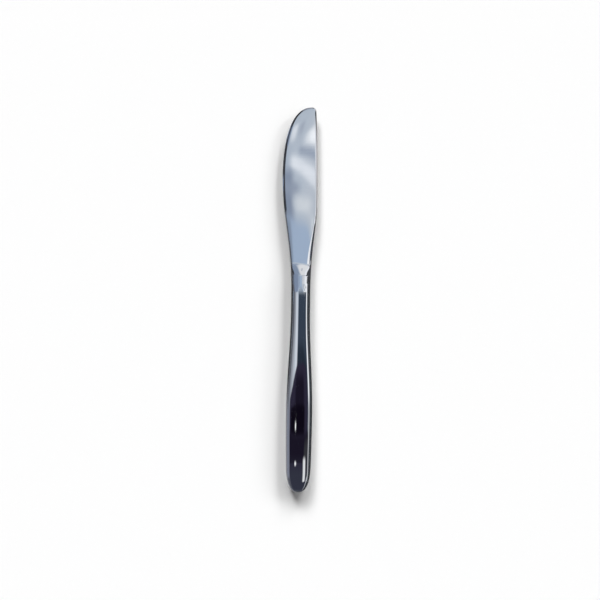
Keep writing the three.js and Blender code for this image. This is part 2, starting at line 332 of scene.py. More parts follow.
# Hardened stainless steel, ground across and glazed on a fine wheel. The eye gets a soft cloudy mirror: the
# ground faces wave a little, so what they mirror drifts and runs together, and a trace of the grinding lines
# is left across the blade. Grinding lines are about 0.02 mm wide, and are drawn at 0.4 mm so that they show.
BLADE_STEEL = SteelFinish(
    "stainless_hardened_ground_and_glazed", line_sizes=(16, 0.4, 0.4), haze_size=9, wave_size=15,
    wave_detail=1.0, haze_start=0.4, haze_roughness=(0.03, 0.05), line_start=0.5, wave_depth=0.008,
    line_depth=0.0004)


def polished_steel(finish, colour):
    """Steel that mirrors what is round it, with the haze, lines and waves of its finish."""
    material, tree, place = node_material(finish.name)
    add = partial(add_node, tree)
    line_scale = [per_metre(size) for size in finish.line_sizes]
    line_place = add("ShaderNodeMapping", {"Vector": place, "Scale": line_scale})
    lines = add(NOISE, {"Vector": line_place, "Scale": 1.0, "Detail": 2.0})
    haze = add(NOISE, {"Vector": place, "Scale": per_metre(finish.haze_size), "Detail": 3.0})
    waves = add(NOISE, {"Vector": place, "Scale": per_metre(finish.wave_size), "Detail": finish.wave_detail})
    clear, hazy = finish.haze_roughness
    held = add(MAP_RANGE, {
        "Value": haze, "From Min": finish.haze_start, "From Max": 0.7, "To Min": clear, "To Max": hazy})
    lined = add(MAP_RANGE, {
        "Value": lines, "From Min": finish.line_start, "From Max": 0.8, "To Min": 0.0, "To Max": 0.02})
    roughness = add(MATH, {0: held, 1: lined}, operation="ADD")
    dulled = rgba(colour, brightness=0.95)
    tint = add(MIX, {0: haze, COLOUR_A: rgba(colour), COLOUR_B: dulled}, data_type="RGBA")
    waved = add(BUMP, {"Height": waves, "Distance": finish.wave_depth * MM})
    scored = add(BUMP, {"Height": lines, "Distance": finish.line_depth * MM, "Normal": waved})
    join_shader(tree, PRINCIPLED, {
        "Base Color": tint.outputs[COLOUR_RESULT], "Metallic": 1, "Roughness": roughness,
        "Normal": scored})
    return material


# Grains across one streak of a joint's set melt
FLOW_GRAINS = 6


def joint_metal(name, colour, grain_mm, smooth, rough):
    """Filler metal of a joint, filed and polished flush. The eye gets a thin line a shade warmer and duller
    than the steel beside it, with the grain of a metal that has set from a melt."""
    material, tree, place = node_material(name)
    add = partial(add_node, tree)
    grain = add(VORONOI, {"Vector": place, "Scale": per_metre(grain_mm)}).outputs["Distance"]
    flow = add(NOISE, {"Vector": place, "Scale": per_metre(FLOW_GRAINS * grain_mm), "Detail": 3.0})
    roughness = add(MAP_RANGE, {
        "Value": flow, "From Min": 0.3, "From Max": 0.7, "To Min": smooth, "To Max": rough})
    dulled = rgba(colour, brightness=0.86)
    tint = add(MIX, {0: grain, COLOUR_A: rgba(colour), COLOUR_B: dulled}, data_type="RGBA")
    set_melt = add(BUMP, {"Height": grain, "Distance": 0.002 * MM})
    join_shader(tree, PRINCIPLED, {
        "Base Color": tint.outputs[COLOUR_RESULT], "Metallic": 1, "Roughness": roughness,
        "Normal": set_melt})
    return material


def cast_cement(colour):
    """Mineral cutlers' cement, poured and set. The eye gets a dull stony filler with sand and air holes."""
    material, tree, place = node_material("cutlers_cement_cast")
    add = partial(add_node, tree)
    sand = add(NOISE, {"Vector": place, "Scale": per_metre(0.5), "Detail": 4.0})
    holes = add(VORONOI, {"Vector": place, "Scale": per_metre(2.5)}).outputs["Distance"]
    open_hole = add(MAP_RANGE, {"Value": holes, "From Min": 0.1, "From Max": 0.25})
    dark = rgba(colour, brightness=0.6)
    tint = add(MIX, {0: sand, COLOUR_A: dark, COLOUR_B: rgba(colour)}, data_type="RGBA")
    grit = add(MATH, {0: sand, 1: 0.3, 2: open_hole}, operation="MULTIPLY_ADD")
    rough_cast = add(BUMP, {"Height": grit, "Distance": 0.2 * MM})
    join_shader(tree, PRINCIPLED, {
        "Base Color": tint.outputs[COLOUR_RESULT], "Roughness": 0.9, "Normal": rough_cast})
    return material


def matt_paper(colour):
    """Uncoated white background paper. The eye gets an even white, no shine, and the faintest fibres."""
    material, tree, place = node_material("background_paper_uncoated")
    # Paper fibres are about 0.05 mm wide; they are drawn at 2 mm so that they show
    fibres = add_node(tree, NOISE, {"Vector": place, "Scale": per_metre(2), "Detail": 4.0})
    shaded = rgba(colour, brightness=0.985)
    tint = add_node(tree, MIX, {0: fibres, COLOUR_A: shaded, COLOUR_B: rgba(colour)}, data_type="RGBA")
    join_shader(tree, PRINCIPLED, {
        "Base Color": tint.outputs[COLOUR_RESULT], "Roughness": 0.95, "Specular IOR Level": 0})
    return material


# Blade, neck and tang

EDGE_SAMPLES = 400
CORNER_SAMPLES = 40
NECK_STEPS = 170
BLADE_STEPS = 250
BEVEL_COLUMNS = 4
FACE_COLUMNS = 44
SPINE_COLUMNS = 12
TOP_POINTS = BEVEL_COLUMNS + FACE_COLUMNS + SPINE_COLUMNS + 1
# Places from -1 to 1 across a rounded section, drawn together towards both flanks
ROUND_PLACES = [-math.cos(math.pi * i / (TOP_POINTS - 1)) for i in range(TOP_POINTS)]
SAME_POINT = 1e-9

# Outline from above: places, and how far each curve's handles reach
BELLY_FROM_TIP = 37 * MM
SHOULDER_FROM_TIP = 54 * MM
SPINE_BULGE_REACH = 7.95 * MM
SPINE_BULGE_FROM_TIP = 21 * MM
TIP_REACH = 4.7 * MM
TIP_SPINE_REACH = 7.1 * MM
TIP_CORNER_LENGTH = 2.7 * MM
EDGE_NECK_PULL = 0.44
EDGE_BELLY_PULL = 0.375
SPINE_NECK_PULL = 0.55
SPINE_SHOULDER_PULL = 0.26
SPINE_BULGE_PULL = 2 / 3
TIP_PULL_ALONG = 0.54
TIP_PULL_ACROSS = 0.71

# Sections of the neck and the blade
ELLIPSE = 2
NECK_BLEND = 3 * MM
NECK_LAND_FADE = 5 * MM
NECK_EDGE_FULLNESS = 2.5
BEVEL_RUN_IN = 5 * MM
BEVEL_FADE = 16 * MM
BEVEL_TIP_WIDTH = 0.9 * MM
HEEL_ROUND_WIDTH = 0.8 * MM
HEEL_BACK_SHARE = 0.3
SPINE_SWELL_LENGTH = 31 * MM
SPINE_SWELL_POWER = 8
SPINE_ROUND_WIDTH = 1.1 * MM
SPINE_HEEL_ROUND_WIDTH = 2.8 * MM
SPINE_BACK_SHARE = 0.25
SPINE_HEEL_BACK_SHARE = 0.05
BAND_MOST = 0.5

# Spigot and tang
SPIGOT_CLEARANCE = 0.3 * MM
NOTCH_COUNT = 3
NOTCH_PITCH = 13 * MM
NOTCH_LENGTH = 3 * MM
NOTCH_DEPTH = 0.7 * MM
NOTCH_WALL_LEAN = 0.25 * MM


def bezier(*points):
    """Points on a cubic curve given by its start, its two handles and its end."""
    return interpolate_bezier(*[Vector((*point, 0)) for point in points], EDGE_SAMPLES)


def tip_corner(tip_y, start, end):
    """Points on the rounded corner between tip and spine, from one angle to another."""
    angles = [between(start, end, i / (CORNER_SAMPLES - 1)) for i in range(CORNER_SAMPLES)]
    half_width = TIP_SPINE_REACH - TIP_REACH
    corner_y = tip_y - TIP_CORNER_LENGTH
    return [Vector((TIP_REACH + half_width * math.cos(a), corner_y + TIP_CORNER_LENGTH * math.sin(a), 0))
            for a in angles]


class Path:
    """Line through points that gives the place at any share of its length."""

    def __init__(self, *stretches):
        points = [point for stretch in stretches for point in stretch]
        self.points = [points[0]]
        self.lengths = [0.0]
        for point in points[1:]:
            step = (point - self.points[-1]).length
            if step > SAME_POINT:
                self.points.append(point)
                self.lengths.append(self.lengths[-1] + step)

    def at(self, share):
        """Point at a share of the whole length."""
        wanted = clamp01(share) * self.lengths[-1]
        high = bisect_right(self.lengths, wanted, 1, len(self.lengths) - 1)
        low = high - 1
        part = (wanted - self.lengths[low]) / (self.lengths[high] - self.lengths[low])
        return self.points[low].lerp(self.points[high], part)


def edge_path(handle, blade):
    """Path of the cutting edge, from the neck over belly and tip to the middle of the tip's corner."""
    start_x = -handle.mouth_width / 2
    start_y = handle.mouth_joint
    belly_x = -blade.edge_reach
    tip_y = blade.neck_length + blade.length
    belly_y = tip_y - BELLY_FROM_TIP
    run = belly_y - start_y
    tip_pull = TIP_REACH - TIP_PULL_ACROSS * (TIP_REACH + blade.edge_reach)
    return Path(
        bezier((start_x, start_y), (start_x, start_y + EDGE_NECK_PULL * run),
               (belly_x, belly_y - EDGE_BELLY_PULL * run), (belly_x, belly_y)),
        bezier((belly_x, belly_y), (belly_x, belly_y + TIP_PULL_ALONG * BELLY_FROM_TIP),
               (tip_pull, tip_y), (TIP_REACH, tip_y)),
        tip_corner(tip_y, math.pi / 2, math.pi / 4),
    )


def spine_path(handle, blade):
    """Path of the spine, from the neck over the shoulder to the middle of the tip's corner."""
    start_x = handle.mouth_width / 2
    start_y = handle.mouth_joint
    tip_y = blade.neck_length + blade.length
    shoulder_y = tip_y - SHOULDER_FROM_TIP
    run = shoulder_y - start_y
    shoulder = Vector((blade.spine_reach, shoulder_y))
    bulge = Vector((SPINE_BULGE_REACH, tip_y - SPINE_BULGE_FROM_TIP))
    corner = Vector((TIP_SPINE_REACH, tip_y - TIP_CORNER_LENGTH))
    shoulder_pull = shoulder.lerp(bulge, SPINE_BULGE_PULL)
    corner_pull = corner.lerp(bulge, SPINE_BULGE_PULL)
    return Path(
        bezier((start_x, start_y), (start_x, start_y + SPINE_NECK_PULL * run),
               (blade.spine_reach, shoulder_y - SPINE_SHOULDER_PULL * run), shoulder),
        bezier(shoulder, shoulder_pull, corner_pull, corner),
        tip_corner(tip_y, 0, math.pi / 4),
    )


def land_share(handle, half_width):
    """Part of a section's half width that its flat land takes."""
    return min(handle.face_width / 2 / half_width, handle.face_share)


def crown(place, land, fullness):
    """Height of a rounded section at a place from -1 to 1 across it, as a share of the land's height."""
    return dome((abs(place) - land) / (1 - land), fullness)


def ring_round(top):
    """Ring whose points run along a top side from the edge to the spine, and back below."""
    return top + [Vector((point.x, point.y, -point.z)) for point in reversed(top)]


def blade_shares(edge_band, spine_band):
    """Shares of the way from edge to spine where a ring of the blade has its points."""
    shares = [edge_band * i / BEVEL_COLUMNS for i in range(BEVEL_COLUMNS)]
    shares += [between(edge_band, 1 - spine_band, i / FACE_COLUMNS) for i in range(FACE_COLUMNS)]
    turns = [math.pi / 2 * i / SPINE_COLUMNS for i in range(SPINE_COLUMNS + 1)]
    return shares + [1 - spine_band * (1 - math.sin(turn)) for turn in turns]


def neck_half_height(handle, blade, y):
    """Half thickness of the neck, which leaves the handle level, bends over a blend and falls evenly."""
    bent = min(y, NECK_BLEND)
    plunge_y = blade.neck_length - blade.plunge_length
    fallen = (y - bent + bent ** 2 / (2 * NECK_BLEND)) / (plunge_y - NECK_BLEND / 2)
    return between(handle.thickness, blade.neck_front_thickness, fallen) / 2


def forging_ring(handle, blade, edge_point, spine_point):
    """Ring of the neck or blade on the straight rule from a point of the edge to one of the spine."""
    y = (edge_point.y + spine_point.y) / 2
    rule = (spine_point - edge_point).length
    tip_y = blade.neck_length + blade.length
    along = clamp01((y - blade.neck_length) / blade.length)

    # The spine is heavy and widely rounded at the heel, and slims down to the shoulder
    swell = 1 - smooth_rise(y, blade.neck_length, blade.neck_length + SPINE_SWELL_LENGTH)
    slim_half = between(blade.spine_shoulder_thickness, blade.spine_tip_thickness, along) / 2
    heavy_half = swell * (blade.spine_heel_thickness / 2 - slim_half)
    spine_band = min(between(SPINE_ROUND_WIDTH, SPINE_HEEL_ROUND_WIDTH, swell) / rule, BAND_MOST)
    spine_back = between(SPINE_BACK_SHARE, SPINE_HEEL_BACK_SHARE, swell)

    # The cutting side is rounded at the heel, and then bevelled to the tip
    bevel_start = tip_y - blade.bevel_length
    bevel = smooth_rise(edge_point.y, bevel_start, bevel_start + BEVEL_RUN_IN)
    from_tip = smooth_rise(tip_y - edge_point.y, 0, BEVEL_FADE)
    bevel_width = between(BEVEL_TIP_WIDTH, blade.bevel_width, from_tip)
    edge_band = min(between(HEEL_ROUND_WIDTH, bevel_width, bevel) / rule, BAND_MOST)
    flat_half = between(blade.flat_heel_thickness, blade.flat_tip_thickness, along) / 2
    edge_half = between(HEEL_BACK_SHARE * flat_half, blade.edge_thickness / 2, bevel)

    # The neck's rounded section goes over into the blade's through the plunge
    neck = 1 - smooth_rise(y, blade.neck_length - blade.plunge_length, blade.neck_length)
    neck_half = neck_half_height(handle, blade, y)
    past_mouth = smooth_rise(y, 0, NECK_LAND_FADE)
    neck_land = land_share(handle, rule / 2) * (1 - past_mouth)
    edge_fullness = between(handle.mouth_fullness, NECK_EDGE_FULLNESS, past_mouth)

    top = []
    for blade_share, neck_place in zip(blade_shares(edge_band, spine_band), ROUND_PLACES):
        share = between(blade_share, (1 + neck_place) / 2, neck)
        off_middle = abs(2 * share - 1)
        face_half = between(flat_half, slim_half, share) + heavy_half * share ** SPINE_SWELL_POWER
        face_half += blade.camber * rule * (1 - off_middle ** 2)
        towards_spine = 1 - clamp01((1 - share) / spine_band)
        rounding = between(spine_back, 1, dome(towards_spine, ELLIPSE))
        blade_half = between(edge_half, face_half, min(1, share / edge_band)) * rounding
        fullness = edge_fullness if share < 0.5 else handle.mouth_fullness
        neck_height = neck_half * crown(off_middle, neck_land, fullness)
        place = edge_point.lerp(spine_point, share)
        top.append(Vector((place.x, place.y, between(blade_half, neck_height, neck))))
    return ring_round(top)


def mouth_ring(handle, inset, y):
    """Ring with the handle's section at its mouth, drawn in all round."""
    half_width = handle.mouth_width / 2 - inset
    half_height = handle.thickness / 2 - inset
    land = land_share(handle, half_width)
    return ring_round([
        Vector((place * half_width, y, half_height * crown(place, land, handle.mouth_fullness)))
        for place in ROUND_PLACES])


def tang_rings(blade):
    """Rings of the tapered tang from its end to its root, stepped in at each pair of notches."""
    root_y = -blade.spigot_depth

    def bar_ring(depth, cut):
        taper = depth / blade.tang_length
        half_width = between(blade.tang_root_width, blade.tang_tip_width, taper) / 2 - cut
        half_height = between(blade.tang_root_thickness, blade.tang_tip_thickness, taper) / 2
        across = [between(-half_width, half_width, i / (TOP_POINTS - 1)) for i in range(TOP_POINTS)]
        return ring_round([Vector((x, root_y - depth, half_height)) for x in across])

    rings = [bar_ring(blade.tang_length, 0)]
    for i in range(NOTCH_COUNT, 0, -1):
        deep = i * NOTCH_PITCH + NOTCH_LENGTH / 2
        shallow = i * NOTCH_PITCH - NOTCH_LENGTH / 2
        rings += [bar_ring(deep + NOTCH_WALL_LEAN, 0), bar_ring(deep, NOTCH_DEPTH)]
        rings += [bar_ring(shallow, NOTCH_DEPTH), bar_ring(shallow - NOTCH_WALL_LEAN, 0)]
    return rings + [bar_ring(0, 0)]


def forging_rings(handle, blade):
    """Rings of the whole forging, from the tang's end over spigot and neck to the tip."""
    inset = handle.wall + SPIGOT_CLEARANCE
    spigot = [mouth_ring(handle, inset, y) for y in (-blade.spigot_depth, handle.mouth_joint)]
    edge = edge_path(handle, blade)
    spine = spine_path(handle, blade)
    neck_share = (blade.neck_length + blade.plunge_length) / edge.lengths[-1]
    shares = [neck_share * i / NECK_STEPS for i in range(NECK_STEPS)]
    turns = [math.pi / 2 * i / BLADE_STEPS for i in range(BLADE_STEPS)]
    shares += [between(neck_share, 1, math.sin(turn)) for turn in turns]
    outside = [forging_ring(handle, blade, edge.at(share), spine.at(share)) for share in shares]
    return tang_rings(blade) + spigot + outside


class KNIFE_OT_forge_blade(bpy.types.Operator):
    """Make the blade with its neck, spigot and notched tang"""

    bl_idname = "knife.forge_blade"
    bl_label = "Forge Blade"

    def execute(self, context):
        scene = context.scene
        rings = forging_rings(scene.knife_handle, scene.knife_blade)
        mesh = lofted_mesh("blade_forging", placed_rings(rings, "blade"))
        steel = polished_steel(BLADE_STEEL, scene.knife_colours.blade_steel)
        finish_mesh(mesh, steel, BLADE_SHARP_DEGREES)
        seat_piece("blade_forging", mesh, "blade_steel", "blade")
        return {"FINISHED"}


# Geometry Nodes trees of the handle, whose number inputs are named for the handle's settings

OUTLINE_INPUTS = (
    "Length", "Mouth Width", "Swell Width", "Butt Width", "Waist Length", "Swell From Butt", "Butt Rounding",
    "Butt Fullness", "Wall", "Seam Height",
)
SECTION_INPUTS = (
    "Thickness", "Face End From Butt", "Face Width", "Face Share", "Mouth Fullness", "Swell Fullness",
    "Butt Side Fullness",
)


def handle_values(handle, titles):
    """Values for inputs that have the names of the handle's settings."""
    return {title: getattr(handle, title.lower().replace(" ", "_")) for title in titles}


def start_tree(name, numbers):
    """New tree and its inputs: numbers, the centre of the handle's mouth and a metal."""
    tree = bpy.data.node_groups.new(name, "GeometryNodeTree")
    for title in numbers:
        tree.interface.new_socket(title, in_out="INPUT", socket_type="NodeSocketFloat")
    tree.interface.new_socket("Mouth Centre", in_out="INPUT", socket_type="NodeSocketVector")
    tree.interface.new_socket("Metal", in_out="INPUT", socket_type="NodeSocketMaterial")
    tree.interface.new_socket("Geometry", in_out="OUTPUT", socket_type="NodeSocketGeometry")
    return tree, add_node(tree, "NodeGroupInput").outputs


def end_tree(tree, given, geometry):
    """Ends a tree with real geometry in its metal."""
    real = add_node(tree, "GeometryNodeRealizeInstances", {"Geometry": geometry})
    metal = add_node(tree, "GeometryNodeSetMaterial", {"Geometry": real, "Material": given["Metal"]})
    add_node(tree, "NodeGroupOutput", {"Geometry": metal})


def dome_nodes(tree, share, fullness):
    """Adds the height of a rounded profile, 1 at its middle and 0 at its end."""
    power = add_node(tree, MATH, {0: share, 1: fullness}, operation="POWER")
    left = add_node(tree, MATH, {0: 1.0, 1: power}, operation="SUBTRACT")
    root = add_node(tree, MATH, {0: 1.0, 1: fullness}, operation="DIVIDE")
    return add_node(tree, MATH, {0: left, 1: root}, operation="POWER")


def half_width_nodes(tree, given, depth, reach, inset):
    """Adds the handle's half width at a depth: a rise to the swell, a slow fall and the butt's rounding."""
    add = partial(add_node, tree)
    swell_at = add(MATH, {0: given["Length"], 1: given["Swell From Butt"]}, operation="SUBTRACT")
    butt_at = add(MATH, {0: given["Length"], 1: given["Butt Rounding"]}, operation="SUBTRACT")
    risen = add(MAP_RANGE, {
        "Value": depth, "From Min": given["Waist Length"], "From Max": swell_at,
        "To Min": given["Mouth Width"], "To Max": given["Swell Width"]}, interpolation_type="SMOOTHSTEP")
    past_swell = add(MAP_RANGE, {"Value": depth, "From Min": swell_at, "From Max": butt_at}, clamp=False)
    past_held = add(MATH, {0: past_swell, 1: 0.0}, operation="MAXIMUM")
    fall = add(MATH, {0: past_held, 1: 2.0}, operation="POWER")
    narrowing = add(MATH, {0: given["Butt Width"], 1: given["Swell Width"]}, operation="SUBTRACT")
    width = add(MATH, {0: narrowing, 1: fall, 2: risen}, operation="MULTIPLY_ADD")
    flank = add(MATH, {0: width, 1: 0.5}, operation="MULTIPLY")
    flank_inside = add(MATH, {0: flank, 1: inset}, operation="SUBTRACT")
    butt_share = add(MAP_RANGE, {"Value": depth, "From Min": butt_at, "From Max": reach})
    butt_dome = dome_nodes(tree, butt_share, given["Butt Fullness"])
    return add(MATH, {0: flank_inside, 1: butt_dome}, operation="MULTIPLY")


def moved_nodes(tree, given, geometry, x, depth, z):
    """Adds the move of points to their places across the mouth's centre, behind it and above it."""
    y = add_node(tree, MATH, {0: depth, 1: -1.0}, operation="MULTIPLY")
    bent = add_node(tree, "ShaderNodeCombineXYZ", {0: x, 1: y, 2: z})
    placed = add_node(tree, VECTOR_MATH, {0: bent, 1: given["Mouth Centre"]}, operation="ADD")
    return add_node(tree, "GeometryNodeSetPosition", {"Geometry": geometry, "Position": placed})


def evaluated_mesh(name, tree, values):
    """Plain mesh that a Geometry Nodes tree makes from its named input values."""
    carrier = bpy.data.objects.new(name, bpy.data.meshes.new(name))
    bpy.context.scene.collection.objects.link(carrier)
    modifier = carrier.modifiers.new(name, "NODES")
    modifier.node_group = tree
    for socket in tree.interface.items_tree:
        if socket.in_out == "INPUT":
            modifier[socket.identifier] = values[socket.name]
    graph = bpy.context.evaluated_depsgraph_get()
    mesh = bpy.data.meshes.new_from_object(carrier.evaluated_get(graph), depsgraph=graph)
    carrier.modifiers.remove(modifier)
    bpy.data.objects.remove(carrier)
    return mesh


# Handle shells

SHELL_ROWS = 300
SHELL_COLUMNS = 81
# Columns over the outer wall and back over the inner wall
WALL_COLUMNS = 2 * SHELL_COLUMNS
HALVES = (
    ("front_half_shell", "handle_front_shell", 1.0),
    ("back_half_shell", "handle_back_shell", -1.0),
)


def shell_tree():
    """Geometry Nodes tree of one half shell: a grid bent to the handle's rule, with wall and mouth rim."""
    tree, given = start_tree("handle_half_shell", (*OUTLINE_INPUTS, *SECTION_INPUTS, "Side"))
    add = partial(add_node, tree)

    # Row and column of each point: rows run from the mouth to the butt, columns round the wall
    grid = add("GeometryNodeMeshGrid", {"Vertices X": SHELL_ROWS, "Vertices Y": WALL_COLUMNS + 1})
    index = add("GeometryNodeInputIndex")
    row_share = add(MATH, {0: index, 1: WALL_COLUMNS + 1}, operation="DIVIDE")
    row = add(MATH, {0: row_share}, operation="FLOOR")
    whole_column = add(MATH, {0: index, 1: WALL_COLUMNS + 1}, operation="MODULO")
    column = add(MATH, {0: whole_column, 1: WALL_COLUMNS}, operation="MODULO")

    # The second half of the columns is the inner wall, which runs back over the same places
    inner = add(MATH, {0: column, 1: SHELL_COLUMNS - 0.5}, operation="GREATER_THAN")
    back_column = add(MATH, {0: WALL_COLUMNS - 1, 1: column}, operation="SUBTRACT")
    step = add(MATH, {0: column, 1: back_column}, operation="MINIMUM")
    angle = add(MATH, {0: step, 1: math.pi / (SHELL_COLUMNS - 1)}, operation="MULTIPLY")
    cosine = add(MATH, {0: angle}, operation="COSINE")
    place = add(MATH, {0: cosine, 1: -1.0}, operation="MULTIPLY")
    distance = add(MATH, {0: place}, operation="ABSOLUTE")

    # The first row closes the mouth's rim in the middle of the wall
    rim = add(MATH, {0: row, 1: 0.5}, operation="LESS_THAN")
    to_middle = add(MATH, {0: 0.5, 1: inner}, operation="SUBTRACT")
    inset_share = add(MATH, {0: rim, 1: to_middle, 2: inner}, operation="MULTIPLY_ADD")
    inset = add(MATH, {0: inset_share, 1: given["Wall"]}, operation="MULTIPLY")

    # Depth behind the mouth, with rows drawn together towards the butt
    row_from_mouth = add(MATH, {0: row, 1: 1.0}, operation="SUBTRACT")
    row_held = add(MATH, {0: row_from_mouth, 1: 0.0}, operation="MAXIMUM")
    row_angle = add(MATH, {0: row_held, 1: math.pi / 2 / (SHELL_ROWS - 2)}, operation="MULTIPLY")
    row_sine = add(MATH, {0: row_angle}, operation="SINE")
    reach = add(MATH, {0: given["Length"], 1: inset}, operation="SUBTRACT")
    depth = add(MATH, {0: reach, 1: row_sine}, operation="MULTIPLY")

    # Half thickness: even along the flat broad face, then rounded down to the butt
    face_end = add(MATH, {0: given["Length"], 1: given["Face End From Butt"]}, operation="SUBTRACT")
    side_share = add(MAP_RANGE, {"Value": depth, "From Min": face_end, "From Max": reach})
    side_dome = dome_nodes(tree, side_share, given["Butt Side Fullness"])
    half_height = add(MATH, {0: given["Thickness"], 1: 0.5}, operation="MULTIPLY")
    height_inside = add(MATH, {0: half_height, 1: inset}, operation="SUBTRACT")
    half_thickness = add(MATH, {0: height_inside, 1: side_dome}, operation="MULTIPLY")

    # Section: a flat land with rounded shoulders that grow fuller from mouth to swell
    half_width = half_width_nodes(tree, given, depth, reach, inset)
    swell_at = add(MATH, {0: given["Length"], 1: given["Swell From Butt"]}, operation="SUBTRACT")
    fullness = add(MAP_RANGE, {
        "Value": depth, "From Min": 0.0, "From Max": swell_at, "To Min": given["Mouth Fullness"],
        "To Max": given["Swell Fullness"]}, interpolation_type="SMOOTHSTEP")
    half_face = add(MATH, {0: given["Face Width"], 1: 0.5}, operation="MULTIPLY")
    land_wanted = add(MATH, {0: half_face, 1: half_width}, operation="DIVIDE")
    land = add(MATH, {0: land_wanted, 1: given["Face Share"]}, operation="MINIMUM")
    over = add(MAP_RANGE, {"Value": distance, "From Min": land, "From Max": 1.0})
    section = dome_nodes(tree, over, fullness)
    risen_height = add(MATH, {0: half_thickness, 1: section}, operation="MULTIPLY")
    half_seam = add(MATH, {0: given["Seam Height"], 1: 0.5}, operation="MULTIPLY")
    height = add(MATH, {0: risen_height, 1: half_seam}, operation="MAXIMUM")

    # Place of each point, with the faces of the lower shell turned to point outwards
    x = add(MATH, {0: place, 1: half_width}, operation="MULTIPLY")
    z = add(MATH, {0: height, 1: given["Side"]}, operation="MULTIPLY")
    moved = moved_nodes(tree, given, grid, x, depth, z)
    welded = add("GeometryNodeMergeByDistance", {"Geometry": moved, "Distance": TREE_WELD})
    below = add(MATH, {0: given["Side"], 1: 0.0}, operation="LESS_THAN")
    turned = add("GeometryNodeFlipFaces", {"Mesh": welded, "Selection": below})
    end_tree(tree, given, turned)
    return tree


class KNIFE_OT_press_shells(bpy.types.Operator):
    """Make the two half shells of the hollow handle"""

    bl_idname = "knife.press_shells"
    bl_label = "Press Handle Shells"

    def execute(self, context):
        scene = context.scene
        steel = polished_steel(HANDLE_STEEL, scene.knife_colours.handle_steel)
        tree = shell_tree()
        values = handle_values(scene.knife_handle, OUTLINE_INPUTS + SECTION_INPUTS)
        values.update({"Mouth Centre": MOUTH_CENTRE, "Metal": steel})
        for name, node, side in HALVES:
            mesh = evaluated_mesh(name, tree, {**values, "Side": side})
            finish_mesh(mesh, steel, SHARP_DEGREES)
            seat_piece(name, mesh, "handle_steel", node)
        return {"FINISHED"}


# Braze, solder and cement

BRAZE_POINTS = 301


def braze_tree():
    """Geometry Nodes tree of the seam's braze: a strip as wide as the wall along the handle's outline."""
    tree, given = start_tree("seam_braze", OUTLINE_INPUTS)
    add = partial(add_node, tree)

    # The path runs from the mouth on the edge's side, round the butt and back on the spine's side
    line = add("GeometryNodeCurvePrimitiveLine")
    points = add("GeometryNodeResampleCurve", {"Curve": line, "Count": BRAZE_POINTS})
    share = add("GeometryNodeSplineParameter").outputs["Factor"]
    round_butt = add(MATH, {0: share, 1: 2.0, 2: -1.0}, operation="MULTIPLY_ADD")
    from_butt = add(MATH, {0: round_butt}, operation="ABSOLUTE")
    side = add(MATH, {0: round_butt}, operation="SIGN")
    to_mouth = add(MATH, {0: from_butt, 1: math.pi / 2}, operation="MULTIPLY")
    depth_share = add(MATH, {0: to_mouth}, operation="COSINE")
    inset = add(MATH, {0: given["Wall"], 1: 0.5}, operation="MULTIPLY")
    reach = add(MATH, {0: given["Length"], 1: inset}, operation="SUBTRACT")
    depth = add(MATH, {0: reach, 1: depth_share}, operation="MULTIPLY")
    half_width = half_width_nodes(tree, given, depth, reach, inset)
    x = add(MATH, {0: half_width, 1: side}, operation="MULTIPLY")
    path = moved_nodes(tree, given, points, x, depth, 0.0)

    # The strip has the section of the gap between the shells
    level = add("GeometryNodeSetCurveNormal", {"Curve": path}, mode="Z_UP")
    section = add("GeometryNodeCurvePrimitiveQuadrilateral", {
        "Width": given["Wall"], "Height": given["Seam Height"]})
    strip = add("GeometryNodeCurveToMesh", {"Curve": level, "Profile Curve": section, "Fill Caps": True})
    welded = add("GeometryNodeMergeByDistance", {"Geometry": strip, "Distance": TREE_WELD})
    end_tree(tree, given, welded)
    return tree


class KNIFE_OT_braze_seam(bpy.types.Operator):
    """Make the braze that joins the half shells round the flanks and the butt"""

    bl_idname = "knife.braze_seam"
    bl_label = "Braze Seam"

    def execute(self, context):
        scene = context.scene
        braze = joint_metal(
            "silver_braze_filed_flush", scene.knife_colours.braze,
            grain_mm=0.3, smooth=0.1, rough=0.2)
        values = handle_values(scene.knife_handle, OUTLINE_INPUTS)
        values.update({"Mouth Centre": MOUTH_CENTRE, "Metal": braze})
        mesh = evaluated_mesh("seam_braze", braze_tree(), values)
        finish_mesh(mesh, braze, SHARP_DEGREES)
        seat_piece("seam_braze", mesh, "braze", "handle_seam_braze")
        return {"FINISHED"}


class KNIFE_OT_solder_mouth(bpy.types.Operator):
    """Make the ring of solder between the handle's mouth and the neck"""

    bl_idname = "knife.solder_mouth"
    bl_label = "Solder Mouth"

    def execute(self, context):
        scene = context.scene
        solder = joint_metal(
            "tin_silver_solder_filed_flush", scene.knife_colours.solder,
            grain_mm=0.2, smooth=0.03, rough=0.06)
        handle = scene.knife_handle
        joint = handle.mouth_joint
        corners = ((0, 0), (0, joint), (handle.wall, joint), (handle.wall, 0))
        rings = [mouth_ring(handle, inset, y) for inset, y in corners]
        mesh = lofted_mesh("mouth_solder_ring", placed_rings(rings, "mouth_solder"), closed=True)
        finish_mesh(mesh, solder, SHARP_DEGREES)
        seat_piece("mouth_solder_ring", mesh, "solder", "mouth_solder")
        return {"FINISHED"}


class KNIFE_OT_fill_cement(bpy.types.Operator):
    """Give the filler inside the handle its cement finish"""

    bl_idname = "knife.fill_cement"
    bl_label = "Fill Cement"

    def execute(self, context):
        cement = cast_cement(context.scene.knife_colours.cement)
        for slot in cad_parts["handle_cement"].material_slots:
            slot.material = cement
        return {"FINISHED"}


# Stage

CAMERA_HEIGHT = 600 * MM
PICTURE_WIDTH = 327.5 * MM
CAMERA_AIM = (0.95 * MM, -0.14 * MM)
CAMERA_ROLL = 0.838
SENSOR_WIDTH = 36
TENT_RADIUS = 10.0
TENT_RINGS = 48
FLOOR_HALF = 6.0
CARD_LIFT = 0.05 * MM
CARD_HALF = 0.5
